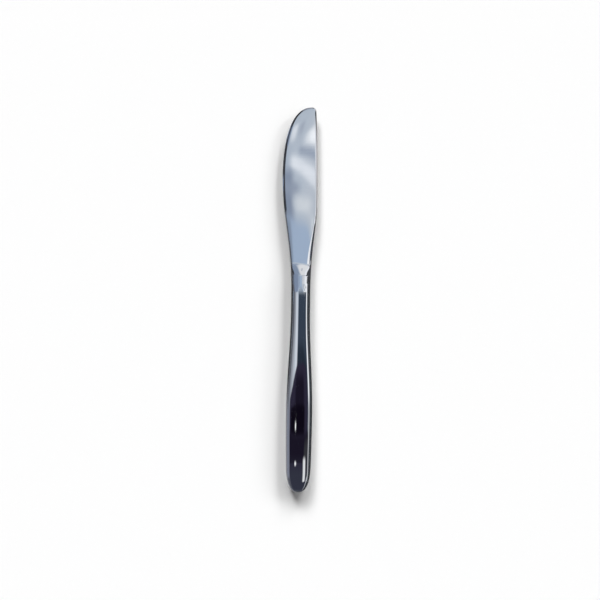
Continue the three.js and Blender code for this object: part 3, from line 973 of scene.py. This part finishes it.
# Painted dark reflections on sheets beside the knife: where each starts, its tones by the blade and by the
# butt
CARDS = (
    ("painted_dark_reflection_at_spine", 0.0, "#494b4f", "#494b4f"),
    ("painted_reflection_at_edge", -CARD_HALF, "#494b4f", "#adadb2"),
)
CARD_FADE_START = -38 * MM
CARD_FADE_END = -66 * MM
# Small sheet standing beside the heel, seen only in the steel as a painted dark reflection; its start is from
# the mouth
FLAG_AWAY = 70 * MM
FLAG_START = 16 * MM
FLAG_LENGTH = 22 * MM
FLAG_HEIGHT = 91 * MM
HEEL_DARK_REFLECTION_TONE = "#55575d"


class Lamp(NamedTuple):
    """Soft lamp far off: degrees round from the spine's side, up and across, and its share of the light."""

    name: str
    round_from_spine: float
    up: float
    spread: float
    share: float


LAMPS = (
    Lamp("soft_lamp_at_spine", 0, 32, 45, 0.071),
    Lamp("small_lamp_at_spine", 30, 20, 14, 0.117),
    Lamp("small_lamp_at_shoulder", 55, 26, 12, 0.115),
    Lamp("small_lamp_past_shoulder", 70, 18, 12, 0.179),
    Lamp("small_lamp_beyond_tip", 90, 20, 14, 0.104),
    Lamp("soft_lamp_past_tip", 105, 26, 25, 0.237),
    Lamp("small_lamp_past_tip", 107, 21, 12, 0.214),
)


class Patch(NamedTuple):
    """Painted reflection: a soft-edged light or dark area of the tent that the steel mirrors onto one part of
    the knife, with its middle and half its size each way. Angles are degrees from straight up: across to the
    spine's side, along to the tip. Lean slides it across as it goes along, and rake along as it goes across."""

    name: str
    across: tuple
    along: tuple
    soft: tuple
    colour: str
    strength: float
    lean: float = 0.0
    rake: float = 0.0


# Painted reflection for the steel: the tent's brightness from the cutting edge's side to the spine's, by
# degrees from straight up
PAINTED_REFLECTION_BASE = (
    (-100, "#5d6066", 1.0),
    (-75, "#80838b", 1.0),
    (-55, "#a2a6b0", 1.0),
    (-40, "#babec9", 1.0),
    (-25, "#e6ebf4", 1.0),
    (-10, "#dfebf8", 1.0),
    (0, "#dfebf8", 1.0),
    (15, "#f0f4fb", 1.05),
    (32, "#f4f6fa", 1.4),
    (55, "#fbfcff", 1.7),
    (60, "#c8c9cc", 1.0),
    (70, "#525458", 1.0),
    (100, "#3c3e42", 1.0),
)

# Painted reflections, painted dark reflections and painted highlights, each set where the steel mirrors it
# onto the knife part in its name
PAINTED_REFLECTION_PATCHES = (
    # Over the blade and neck
    Patch("neck_shade", (-37, 28), (26.3, 25.7), (7, 0.35), "#9cadc8", 1.0),
    Patch("edge_fold", (-5.8, 2.6), (5.0, 2.8), (1.6, 0.5), "#a5b3c9", 1.0),
    Patch("middle_fold", (-4.5, 4), (6.55, 0.4), (2, 0.3), "#b3c0d4", 1.0),
    Patch("heel_fold", (-3, 9), (2.6, 1.85), (3, 0.35), "#c6dbf5", 1.0),
    Patch("heel_edge", (-7, 2.2), (3.1, 1.3), (0.8, 0.5), "#a4b5cb", 1.0),
    Patch("spine_glow", (14, 10), (1.75, 0.85), (3, 0.3), "#fcfeff", 1.5),
    Patch("neck_fold", (18, 12), (5.6, 1.4), (6, 0.6), "#dfe8f2", 1.0),
    Patch("lower_glow", (1, 3.5), (5.65, 0.5), (2, 0.35), "#f4faff", 1.15),
    Patch("belly_glow", (1.7, 6), (7.97, 0.5), (1.6, 0.3), "#f4f9ff", 1.36, rake=0.12),
    Patch("cloud", (3, 4.2), (8.97, 0.25), (1.2, 0.2), "#c2d0e4", 0.92, rake=0.07),
    Patch("corner_glow", (6.5, 4.5), (9.65, 0.45), (3.5, 0.25), "#fafdff", 1.6),
    Patch("edge_glow", (-4.3, 1.1), (11.1, 0.9), (0.7, 0.5), "#f2f8ff", 1.3),
    Patch("tip_shade", (-1.3, 0.9), (11.1, 0.7), (0.8, 0.5), "#cbd6e6", 1.0),
    Patch("edge_flag", (-86, 37), (33, 24), (2, 1.5), "#4a4d53", 1.0),
    Patch("edge_flag_middle", (-61.5, 9.5), (9, 2.5), (1.5, 1), "#4a4d53", 1.0),
    Patch("edge_flag_low", (-64.5, 4.5), (2.2, 5), (1, 1), "#4a4d53", 1.0),
    Patch("neck_edge", (-77, 6.5), (0.7, 0.65), (1, 0.25), "#93a2b8", 1.0),
    Patch("tip_flag", (42, 32), (11.7, 0.75), (4, 0.3), "#4a4d53", 1.0),
    Patch("corner_flag", (103, 28), (42, 34), (3, 1), "#46484c", 1.0),
    Patch("plunge_flag", (67, 21), (22.5, 12), (3, 1.5), "#4a4c50", 1.0),
    Patch("waist_flag", (64, 15), (1.75, 0.5), (2.5, 0.15), "#4a4c50", 1.0),
    Patch("plunge_edge", (-22, 21), (35, 18), (6, 3), "#a3b4cd", 1.0),
    Patch("plunge_glow", (14.5, 13.5), (36, 16.5), (4.5, 2.5), "#fdfeff", 1.2),
    Patch("plunge_shade", (-6, 7), (26, 3.8), (2, 1.5), "#b4c6de", 1.0),
    Patch("plunge_core", (10.5, 2.2), (50.5, 1.3), (1.5, 0.8), "#d5dce6", 1.0),
    # Over the handle
    Patch("handle_glow", (-20, 8), (-3.3, 3.9), (4, 0.6), "#f0f6ff", 1.2, lean=3.6),
    Patch("camera_shade", (20, 23), (-4.45, 4.9), (2.5, 0.2), "#475364", 1.0),
    Patch("strip_flag", (36, 10), (-0.1, 0.6), (2.5, 0.2), "#475364", 1.0),
    Patch("camera_core", (15, 17), (-3.3, 0.8), (3, 0.5), "#323c4a", 1.0),
    Patch("body_shade", (-5, 40), (-62, 58.49), (5, 0.12), "#3a354a", 1.0, rake=-0.022),
    Patch("body_heart", (2, 8), (-5.1, 1.0), (5, 0.5), "#241f30", 1.0),
    Patch("body_core", (-9, 22), (-6.6, 0.85), (5, 0.12), "#15101e", 1.0),
    Patch("body_middle", (0.5, 45.5), (-10.4, 3), (3, 0.3), "#241f30", 1.0),
    Patch("body_shade_low", (-2, 42), (-57, 42), (5, 6), "#424453", 1.0),
    Patch("far_cloth", (0, 75), (-79, 20), (8, 4), "#5c606b", 1.0),
    Patch("side_cloth", (-75, 30), (-15, 10), (1.5, 1.0), "#9a9eae", 1.0),
    Patch("butt_rim", (-62, 22), (-41, 18), (3, 3), "#6c6e78", 1.0),
    Patch("side_haze", (27, 13), (-12.5, 4.6), (5, 0.5), "#46464b", 1.0),
    Patch("side_dark", (75, 30), (-35, 30), (1.0, 1.5), "#4c4e52", 1.0),
    Patch("side_gap", (40, 5), (-17, 6), (2, 2), "#3a3b46", 1.0),
    Patch("side_strip", (54.5, 6.5), (-17, 12), (1.5, 1.5), "#f2f2f6", 0.9),
    # Painted highlights: bright marks that the handle mirrors where lamps would shine in it
    Patch("painted_highlight_tall", (17, 7), (-19.7, 8.4), (4, 1.4), "#ffffff", 1.3),
    Patch("painted_highlight_long", (-3.5, 1.7), (-6.93, 0.2), (0.8, 0.06), "#ffffff", 1.6),
    Patch("painted_highlight_small", (-3.3, 2.2), (-13.7, 0.95), (1.2, 0.9), "#ffffff", 1.6),
)


def painted_reflection_material():
    """Painted reflections and highlights, among them the camera's dark, on the sphere that only steel
    mirrors.
    """
    material, tree, place = node_material("painted_reflection_sphere")
    add = partial(add_node, tree)
    direction = add(VECTOR_MATH, {0: place}, operation="NORMALIZE")
    parts = add("ShaderNodeSeparateXYZ", {0: direction}).outputs
    across_turn = add(MATH, {0: parts["X"], 1: parts["Z"]}, operation="ARCTAN2")
    across = add(MATH, {0: across_turn}, operation="DEGREES")
    along_turn = add(MATH, {0: parts["Y"]}, operation="ARCSINE")
    along = add(MATH, {0: along_turn}, operation="DEGREES")

    # Painted reflection for the steel: a brightness by angle first, then each patch laid over it
    (start, hex_colour, strength), *others = PAINTED_REFLECTION_BASE
    colour = rgba(linear(hex_colour), strength)
    for end, hex_colour, strength in others:
        share = add(MAP_RANGE, {"Value": across, "From Min": start, "From Max": end})
        tone = rgba(linear(hex_colour), strength)
        blended = add(MIX, {0: share, COLOUR_A: colour, COLOUR_B: tone}, data_type="RGBA")
        colour = blended.outputs[COLOUR_RESULT]
        start = end

    for patch in PAINTED_REFLECTION_PATCHES:
        slid = add(MATH, {0: along, 1: patch.lean, 2: across}, operation="MULTIPLY_ADD")
        raked = add(MATH, {0: across, 1: patch.rake, 2: along}, operation="MULTIPLY_ADD")
        beyond = []
        for angle, (middle, half), soft in zip((slid, raked), (patch.across, patch.along), patch.soft):
            off = add(MATH, {0: angle, 1: middle}, operation="SUBTRACT")
            distance = add(MATH, {0: off}, operation="ABSOLUTE")
            past = add(MAP_RANGE, {"Value": distance, "From Min": half - soft, "From Max": half + soft})
            beyond.append(add(MATH, {0: past, 1: 2.0}, operation="POWER"))
        both = add(MATH, {0: beyond[0], 1: beyond[1]}, operation="ADD")
        rounded = add(MATH, {0: both}, operation="SQRT")
        mask = add(MAP_RANGE, {
            "Value": rounded, "To Min": 1.0, "To Max": 0.0}, interpolation_type="SMOOTHSTEP")
        tone = rgba(linear(patch.colour), patch.strength)
        blended = add(MIX, {0: mask, COLOUR_A: colour, COLOUR_B: tone}, data_type="RGBA")
        colour = blended.outputs[COLOUR_RESULT]

    # Light that has touched the floor finds the tent dark, so the steel throws no bright marks on the paper
    path = add("ShaderNodeLightPath").outputs
    unspent = add(MATH, {0: path["Diffuse Depth"], 1: 0.5}, operation="LESS_THAN")
    join_shader(tree, EMISSION, {"Color": colour, "Strength": unspent})
    return material


def painted_reflection_sheet_material(name, dark, light):
    """Painted reflection on a sheet seen only in the steel, from one tone by the blade to another by the
    butt.
    """
    material, tree, place = node_material(name)
    along = add_node(tree, "ShaderNodeSeparateXYZ", {0: place}).outputs["Y"]
    share = add_node(tree, MAP_RANGE, {
        "Value": along, "From Min": CARD_FADE_START, "From Max": CARD_FADE_END},
        interpolation_type="SMOOTHSTEP")
    tone = add_node(tree, MIX, {
        0: share, COLOUR_A: rgba(linear(dark)), COLOUR_B: rgba(linear(light))}, data_type="RGBA")
    join_shader(tree, EMISSION, {"Color": tone.outputs[COLOUR_RESULT]})
    return material


def stage_object(name, mesh, material):
    """Puts a mesh into the scene as part of the studio."""
    mesh.materials.append(material)
    made = bpy.data.objects.new(name, mesh)
    bpy.context.scene.collection.objects.link(made)
    return made


def mirrored_only(name, mesh, material):
    """Puts a mesh that gives light into the studio, seen in polished metal alone: its colour is painted
    reflection.
    """
    material.cycles.emission_sampling = "NONE"
    made = stage_object(name, mesh, material)
    made.visible_camera = False
    made.visible_diffuse = False
    made.visible_transmission = False
    made.visible_volume_scatter = False
    made.visible_shadow = False


def rectangle_mesh(name, corner, side, other_side):
    """Rectangle given by one corner and the two sides that leave it."""
    near = Vector(corner) + Vector(side)
    opposite = near + Vector(other_side)
    far = Vector(corner) + Vector(other_side)
    mesh = bpy.data.meshes.new(name)
    mesh.from_pydata([corner, near, opposite, far], [], [(0, 1, 2, 3)])
    return mesh


def tent_mesh():
    """Sphere round the whole studio."""
    shape = bmesh.new()
    bmesh.ops.create_uvsphere(shape, u_segments=2 * TENT_RINGS, v_segments=TENT_RINGS, radius=TENT_RADIUS)
    mesh = bpy.data.meshes.new("tent")
    shape.to_mesh(mesh)
    shape.free()
    return mesh


def white_world():
    """White surroundings for the camera and for what metal mirrors. The lamps alone light the floor."""
    world = bpy.data.worlds.new("white_surroundings")
    world.use_nodes = True
    tree = world.node_tree
    tree.nodes.clear()
    path = add_node(tree, "ShaderNodeLightPath").outputs
    seen = add_node(tree, MATH, {0: path["Is Camera Ray"], 1: path["Is Glossy Ray"]}, operation="MAXIMUM")
    shown = add_node(tree, MATH, {0: seen, 1: path["Is Transmission Ray"]}, operation="MAXIMUM")
    background = add_node(tree, "ShaderNodeBackground", {"Color": (1, 1, 1, 1), "Strength": shown})
    add_node(tree, "ShaderNodeOutputWorld", {"Surface": background})
    return world


def hang_lamp(lamp):
    """Lights the floor from one side, with the lamp itself left out of the metal's mirror picture."""
    turn = math.radians(lamp.round_from_spine)
    up = math.radians(lamp.up)
    towards = Vector((math.cos(up) * math.cos(turn), math.cos(up) * math.sin(turn), math.sin(up)))
    data = bpy.data.lights.new(lamp.name, "SUN")
    data.angle = math.radians(lamp.spread)
    data.energy = math.pi * lamp.share / math.sin(up)
    hung = bpy.data.objects.new(lamp.name, data)
    hung.rotation_euler = (-towards).to_track_quat("-Z", "Y").to_euler()
    hung.visible_glossy = False
    bpy.context.scene.collection.objects.link(hung)


def hang_camera():
    """Camera straight above the knife, turned a little so that the knife leans as in the picture."""
    data = bpy.data.cameras.new("camera")
    data.sensor_width = SENSOR_WIDTH
    data.lens = SENSOR_WIDTH * CAMERA_HEIGHT / PICTURE_WIDTH
    camera = bpy.data.objects.new("camera", data)
    camera.location = (*CAMERA_AIM, MOUTH_CENTRE.z + CAMERA_HEIGHT)
    camera.rotation_euler = (0, 0, math.radians(CAMERA_ROLL))
    bpy.context.scene.collection.objects.link(camera)
    bpy.context.scene.camera = camera


class KNIFE_OT_set_stage(bpy.types.Operator):
    """Lay out the floor, the light, the camera and the painted reflections that only the steel sees"""

    bl_idname = "knife.set_stage"
    bl_label = "Set Stage"

    def execute(self, context):
        scene = context.scene
        floor_corner = (-FLOOR_HALF, -FLOOR_HALF, 0)
        floor_mesh = rectangle_mesh("floor", floor_corner, (2 * FLOOR_HALF, 0, 0), (0, 2 * FLOOR_HALF, 0))
        stage_object("floor", floor_mesh, matt_paper(scene.knife_colours.floor))

        # The tent, the cards and the flag are seen only in the steel: their colours are painted reflections
        mirrored_only("tent", tent_mesh(), painted_reflection_material())
        for name, start_x, dark, light in CARDS:
            card_corner = (start_x, -CARD_HALF, CARD_LIFT)
            card_mesh = rectangle_mesh(name, card_corner, (CARD_HALF, 0, 0), (0, 2 * CARD_HALF, 0))
            mirrored_only(name, card_mesh, painted_reflection_sheet_material(name, dark, light))
        flag_corner = (FLAG_AWAY, MOUTH_CENTRE.y + FLAG_START, 0)
        flag_mesh = rectangle_mesh("painted_dark_reflection_at_heel", flag_corner, (0, FLAG_LENGTH, 0), (0, 0, FLAG_HEIGHT))
        mirrored_only("painted_dark_reflection_at_heel", flag_mesh, painted_reflection_sheet_material("painted_dark_reflection_at_heel", HEEL_DARK_REFLECTION_TONE, HEEL_DARK_REFLECTION_TONE))

        hang_camera()
        scene.world = white_world()
        for lamp in LAMPS:
            hang_lamp(lamp)
        scene.view_settings.view_transform = "Standard"
        return {"FINISHED"}


class KNIFE_PT_panel(bpy.types.Panel):
    """Lists the steps that make the knife"""

    bl_idname = "KNIFE_PT_panel"
    bl_label = "Butter Knife"
    bl_space_type = "VIEW_3D"
    bl_region_type = "UI"
    bl_category = PANEL_TAB

    def draw(self, context):
        for operator in OPERATORS:
            self.layout.operator(operator.bl_idname)


OPERATORS = (
    KNIFE_OT_forge_blade,
    KNIFE_OT_press_shells,
    KNIFE_OT_braze_seam,
    KNIFE_OT_solder_mouth,
    KNIFE_OT_fill_cement,
    KNIFE_OT_set_stage,
)
CLASSES = (HandleSizes, BladeSizes, KnifeColours, *OPERATORS, KNIFE_PT_panel)


def register():
    """Adds the classes to Blender and the settings to the scene."""
    for added in CLASSES:
        bpy.utils.register_class(added)
    bpy.types.Scene.knife_handle = bpy.props.PointerProperty(type=HandleSizes)
    bpy.types.Scene.knife_blade = bpy.props.PointerProperty(type=BladeSizes)
    bpy.types.Scene.knife_colours = bpy.props.PointerProperty(type=KnifeColours)


def unregister():
    """Takes them out again."""
    del bpy.types.Scene.knife_colours
    del bpy.types.Scene.knife_blade
    del bpy.types.Scene.knife_handle
    for added in reversed(CLASSES):
        bpy.utils.unregister_class(added)


def main():
    """Makes the knife and its studio."""
    register()
    bpy.ops.knife.forge_blade()
    bpy.ops.knife.press_shells()
    bpy.ops.knife.braze_seam()
    bpy.ops.knife.solder_mouth()
    bpy.ops.knife.fill_cement()
    bpy.ops.knife.set_stage()


if __name__ == "__main__":
    main()
